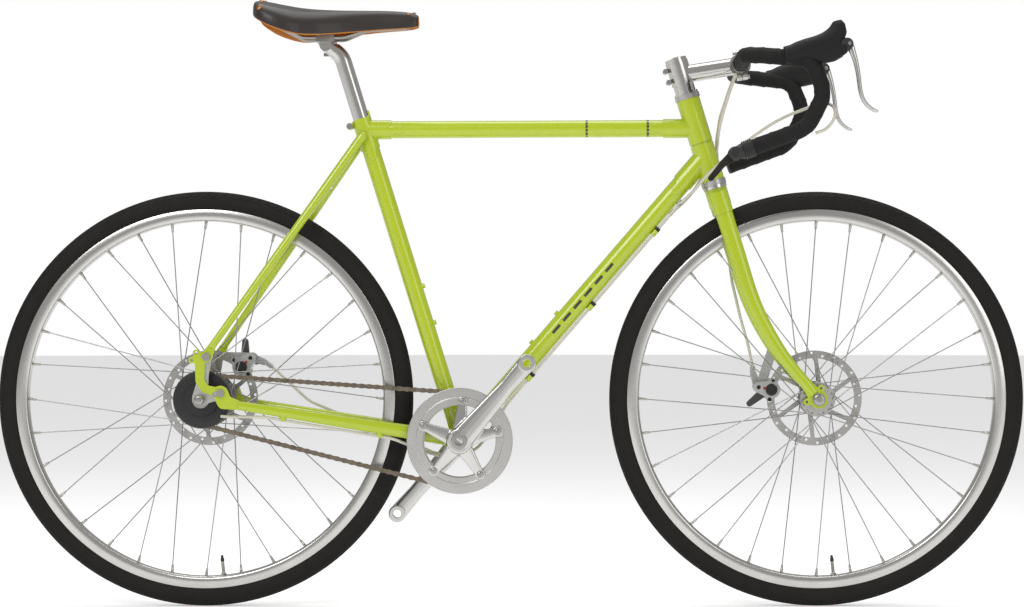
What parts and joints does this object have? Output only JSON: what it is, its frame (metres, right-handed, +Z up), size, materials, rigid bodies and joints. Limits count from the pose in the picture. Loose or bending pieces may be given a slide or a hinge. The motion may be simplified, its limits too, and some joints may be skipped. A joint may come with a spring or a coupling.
{
  "type": "road bicycle",
  "caption": "Lugged steel road bicycle with a drop bar, internally geared rear hub, disc brakes and a leather saddle.",
  "frame": {"origin": "on the ground midway between the axles", "axes": "+X forward, +Y to the rider's left, +Z up"},
  "size_m": [1.7111, 0.4518, 1.0115],
  "materials": {
    "frame_paint": "gloss",
    "polished_alloy": "polished",
    "satin_alloy": "satin",
    "steel": "plated",
    "black_steel": "gloss black",
    "tyre_rubber": "matte",
    "bar_tape": "cork tape",
    "hood_rubber": "matte",
    "leather": "waxed leather",
    "cable_housing": "braided",
    "chain_steel": "oiled",
    "black_plastic": "moulded"
  },
  "bodies": {
    "frame": {"head_tube": "frame_paint", "seat_tube": "frame_paint", "top_tube": "frame_paint", "down_tube": "frame_paint", "bottom_bracket_shell": "frame_paint", "frame_lugs": "frame_paint", "seat_stays": "frame_paint", "chain_stays": "frame_paint", "stay_bridges": "frame_paint", "rear_dropouts": "frame_paint", "dropout_inserts": "steel", "frame_bolts": "steel", "headset_cups": "polished_alloy", "bottom_bracket_bearings": "steel", "cable_guides": "frame_paint", "bottle_bosses": "steel", "frame_cables": "cable_housing", "rear_caliper": "satin_alloy", "rear_axle": "steel"},
    "seatpost": {"seatpost": "polished_alloy"},
    "saddle": {"saddle_clamp": "satin_alloy", "saddle_rails": "steel", "saddle_leather": "leather", "saddle_plates": "steel"},
    "fork": {"fork_blades": "frame_paint", "fork_crown": "frame_paint", "steerer": "steel", "headset_spacers": "polished_alloy", "stem": "polished_alloy", "stem_bolts": "steel", "handlebar": "polished_alloy", "bar_tape": "bar_tape", "brake_hoods": "hood_rubber", "bar_ends": "black_plastic", "front_caliper": "satin_alloy", "front_brake_cable": "cable_housing", "front_axle": "steel", "steering_cables": "cable_housing"},
    "right_brake_lever": {"right_brake_lever": "polished_alloy"},
    "left_brake_lever": {"left_brake_lever": "polished_alloy"},
    "front_brake_arm": {"front_brake_arm": "satin_alloy"},
    "rear_brake_arm": {"rear_brake_arm": "satin_alloy"},
    "shift_lever": {"shift_lever": "black_steel"},
    "front_wheel": {"front_tyre": "tyre_rubber", "front_rim": "satin_alloy", "front_spokes": "steel", "front_hub": "polished_alloy", "front_rotor": "steel"},
    "rear_wheel": {"rear_tyre": "tyre_rubber", "rear_rim": "satin_alloy", "rear_spokes": "steel", "rear_hub": "polished_alloy", "rear_rotor": "steel"},
    "crankset": {"crank_arms": "polished_alloy", "chainring": "satin_alloy", "chain_guard": "polished_alloy", "chainring_bolts": "steel", "chain": "chain_steel"},
    "sprocket": {"sprocket": "black_steel"},
    "shift_pulley": {"shift_pulley": "black_plastic"}
  },
  "joints": [
    {"name": "seatpost_slide", "type": "slide", "parent": "frame", "child": "seatpost", "axis": [-0.2974, 0, 0.9548], "range_m": [-0.06, 0.04]},
    {"name": "saddle_tilt", "type": "hinge", "parent": "seatpost", "child": "saddle", "pos_m": [-0.30902, 0, 0.9363], "axis": [0, 1, 0], "range_deg": [-5, 5]},
    {"name": "steering", "type": "hinge", "parent": "frame", "child": "fork", "pos_m": [0.33722, 0, 0.71042], "axis": [-0.294, 0, 0.9558], "range_deg": [-60, 60], "deforming": ["steering_cables"]},
    {"name": "right_brake_pull", "type": "hinge", "parent": "fork", "child": "right_brake_lever", "pos_m": [0.54465, -0.208, 0.9177], "axis": [0, 1, 0], "range_deg": [0, 20], "stiffness_Nm_per_rad": 0.6, "springref_deg": -17.19},
    {"name": "left_brake_pull", "type": "hinge", "parent": "fork", "child": "left_brake_lever", "pos_m": [0.54465, 0.208, 0.9177], "axis": [0, 1, 0], "range_deg": [0, 20], "stiffness_Nm_per_rad": 0.6, "springref_deg": -17.19},
    {"name": "front_brake_swing", "type": "hinge", "parent": "fork", "child": "front_brake_arm", "pos_m": [0.43303, 0.06, 0.36088], "axis": [0, 1, 0], "range_deg": [0, 20]},
    {"name": "rear_brake_swing", "type": "hinge", "parent": "frame", "child": "rear_brake_arm", "pos_m": [-0.45416, 0.074, 0.40087], "axis": [0, 1, 0], "range_deg": [0, 20]},
    {"name": "shift_turn", "type": "hinge", "parent": "fork", "child": "shift_lever", "pos_m": [0.36215, -0.212, 0.7422], "axis": [0, 1, 0], "range_deg": [0, 70]},
    {"name": "front_wheel_spin", "type": "hinge", "parent": "fork", "child": "front_wheel", "pos_m": [0.5096, 0, 0.346], "axis": [0, 1, 0], "continuous": true},
    {"name": "rear_wheel_spin", "type": "hinge", "parent": "frame", "child": "rear_wheel", "pos_m": [-0.5096, 0, 0.346], "axis": [0, 1, 0], "continuous": true},
    {"name": "crank_spin", "type": "hinge", "parent": "frame", "child": "crankset", "pos_m": [-0.08364, 0, 0.2777], "axis": [0, 1, 0], "continuous": true, "deforming": ["chain"]},
    {"name": "sprocket_spin", "type": "hinge", "parent": "frame", "child": "sprocket", "pos_m": [-0.5096, 0, 0.346], "axis": [0, 1, 0], "continuous": true},
    {"name": "shift_pulley_turn", "type": "hinge", "parent": "frame", "child": "shift_pulley", "pos_m": [-0.5096, 0, 0.346], "axis": [0, 1, 0], "range_deg": [0, 126]}
  ],
  "couplings": [
    {"joint": "sprocket_spin", "follows": "crank_spin", "ratio": 1.95},
    {"joint": "front_brake_swing", "follows": "right_brake_pull", "ratio": 1},
    {"joint": "rear_brake_swing", "follows": "left_brake_pull", "ratio": 1},
    {"joint": "shift_pulley_turn", "follows": "shift_turn", "ratio": 1.8}
  ]
}
